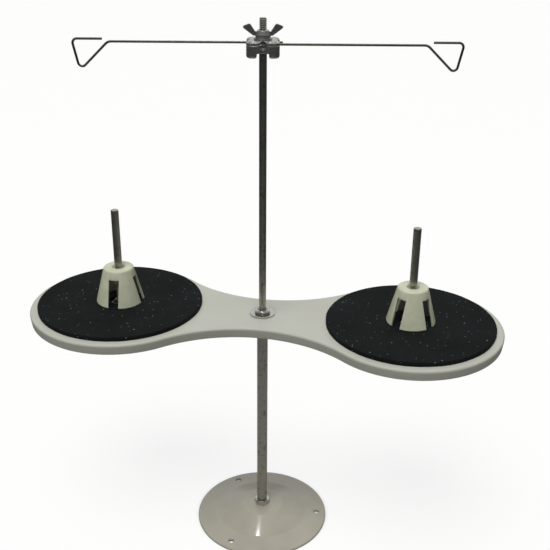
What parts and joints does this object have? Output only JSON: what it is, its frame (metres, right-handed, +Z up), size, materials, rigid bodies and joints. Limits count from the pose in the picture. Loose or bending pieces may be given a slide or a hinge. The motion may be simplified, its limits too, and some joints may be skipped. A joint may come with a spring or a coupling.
{
  "type": "thread stand",
  "caption": "Free-standing thread stand: round screw-down base, rod, dumbbell tray with padded spool places on pins, and a clamp holding wire thread guides.",
  "frame": {"origin": "on the rod's axis, on the surface that the base stands on", "axes": "+Z up along the rod, +X along the tray towards the right spool place, +Y towards the back of the tray"},
  "size_m": [0.4074, 0.1554, 0.4604],
  "materials": {
    "tray_plastic": "moulded, satin sheen, light warm grey",
    "base_paint": "gloss enamel over pressed steel, light warm grey",
    "foam": "closed-cell foam sheet, matte black",
    "ivory_plastic": "moulded, ivory, satin",
    "nickel_rod": "drawn steel rod, nickel plated",
    "zinc_plate": "bright zinc plated steel",
    "zinc_casting": "die-cast zinc, plated, dull grey",
    "spring_wire": "drawn steel wire, dark nickel"
  },
  "bodies": {
    "stand": {"base_plate": "base_paint", "base_upper_nut": "zinc_plate", "base_lower_washer": "zinc_plate", "base_lower_nut": "zinc_plate", "lower_rod": "nickel_rod", "upper_rod": "nickel_rod", "tray_seat_washer": "zinc_plate", "tray_upper_washer": "zinc_plate", "tray_nut": "zinc_plate"},
    "tray_set": {"tray": "tray_plastic", "left_pad": "foam", "left_spool_pin": "nickel_rod", "left_pin_upper_washer": "zinc_plate", "left_pin_upper_nut": "zinc_plate", "left_pin_lower_washer": "zinc_plate", "left_pin_lower_nut": "zinc_plate", "right_pad": "foam", "right_spool_pin": "nickel_rod", "right_pin_upper_washer": "zinc_plate", "right_pin_upper_nut": "zinc_plate", "right_pin_lower_washer": "zinc_plate", "right_pin_lower_nut": "zinc_plate"},
    "left_cone": {"left_cone_holder": "ivory_plastic"},
    "right_cone": {"right_cone_holder": "ivory_plastic"},
    "head": {"clamp_body": "zinc_casting"},
    "cap": {"clamp_cap": "zinc_casting", "clamp_washer": "zinc_plate", "clamp_lock_washer": "zinc_plate"},
    "wing": {"wing_nut": "zinc_plate"},
    "left_guide": {"left_thread_guide": "spring_wire"},
    "right_guide": {"right_thread_guide": "spring_wire"}
  },
  "joints": [
    {"name": "tray_swivel", "type": "hinge", "parent": "stand", "child": "tray_set", "pos_m": [0, 0, 0.213], "axis": [0, 0, 1], "continuous": true},
    {"name": "left_cone_lift", "type": "slide", "parent": "tray_set", "child": "left_cone", "axis": [0, 0, 1], "range_m": [0, 0.09]},
    {"name": "right_cone_lift", "type": "slide", "parent": "tray_set", "child": "right_cone", "axis": [0, 0, 1], "range_m": [0, 0.09]},
    {"name": "guide_head_swivel", "type": "hinge", "parent": "stand", "child": "head", "pos_m": [0, 0, 0.4415], "axis": [0, 0, 1], "continuous": true},
    {"name": "left_guide_slide", "type": "slide", "parent": "head", "child": "left_guide", "axis": [-0.9884, -0.152, 0], "range_m": [-0.08, 0.012]},
    {"name": "right_guide_slide", "type": "slide", "parent": "head", "child": "right_guide", "axis": [0.9884, 0.152, 0], "range_m": [-0.08, 0.012]},
    {"name": "wing_nut_turn", "type": "hinge", "parent": "cap", "child": "wing", "pos_m": [0, 0, 0.4485], "axis": [0, 0, 1], "range_deg": [0, 1080]},
    {"name": "cap_lift", "type": "slide", "parent": "head", "child": "cap", "axis": [0, 0, 1], "range_m": [0, 0.0031]}
  ],
  "couplings": [
    {"joint": "cap_lift", "follows": "wing_nut_turn", "m_per_rad": 0.00015915}
  ]
}
